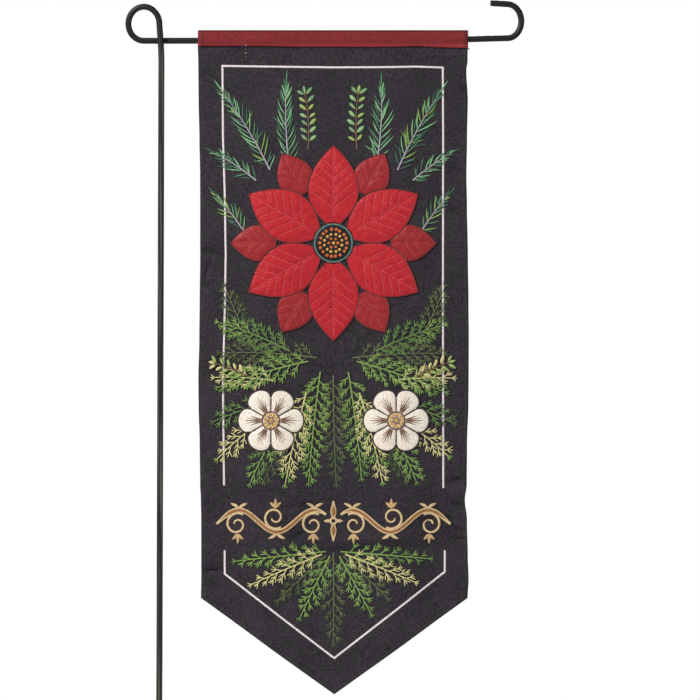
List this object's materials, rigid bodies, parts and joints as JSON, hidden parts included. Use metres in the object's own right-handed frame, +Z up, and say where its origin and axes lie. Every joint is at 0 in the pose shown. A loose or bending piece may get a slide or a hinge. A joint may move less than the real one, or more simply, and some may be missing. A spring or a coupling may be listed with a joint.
{
  "type": "garden flag on a stake stand",
  "caption": "Narrow pointed garden flag of dark cloth with a sewn flower, hung by its red sleeve on a bent-rod stand that is pushed into the ground.",
  "frame": {"origin": "the pole's axis at the ground line", "axes": "+Z up along the pole, -Y out of the flag's face, +X along the arm towards its hook"},
  "size_m": [0.4583, 0.0157, 1.0611],
  "materials": {
    "black_rod": "satin black powder coat",
    "charcoal_cloth": "brushed plain weave",
    "crimson_cloth": "plain weave",
    "white_line": "satin stitch",
    "scarlet_cloth": "padded satin",
    "deep_red_cloth": "padded satin",
    "black_cloth": "satin",
    "cream_cloth": "plain weave",
    "thread": "embroidery thread, in many colours"
  },
  "bodies": {
    "root": {"stand_rod": "black_rod", "step_prong": "black_rod", "flag_cloth": "charcoal_cloth", "top_sleeve": "crimson_cloth", "border_upper": "white_line", "border_lower": "white_line", "petal_inner_1": "scarlet_cloth", "petal_inner_2": "scarlet_cloth", "petal_inner_3": "scarlet_cloth", "petal_inner_4": "scarlet_cloth", "petal_inner_5": "scarlet_cloth", "petal_inner_6": "scarlet_cloth", "petal_outer_1": "deep_red_cloth", "petal_outer_2": "deep_red_cloth", "petal_outer_3": "deep_red_cloth", "petal_outer_4": "deep_red_cloth", "petal_outer_5": "deep_red_cloth", "petal_outer_6": "deep_red_cloth", "flower_eye": "black_cloth", "blossom_left": "cream_cloth", "blossom_right": "cream_cloth"}
  },
  "joints": []
}
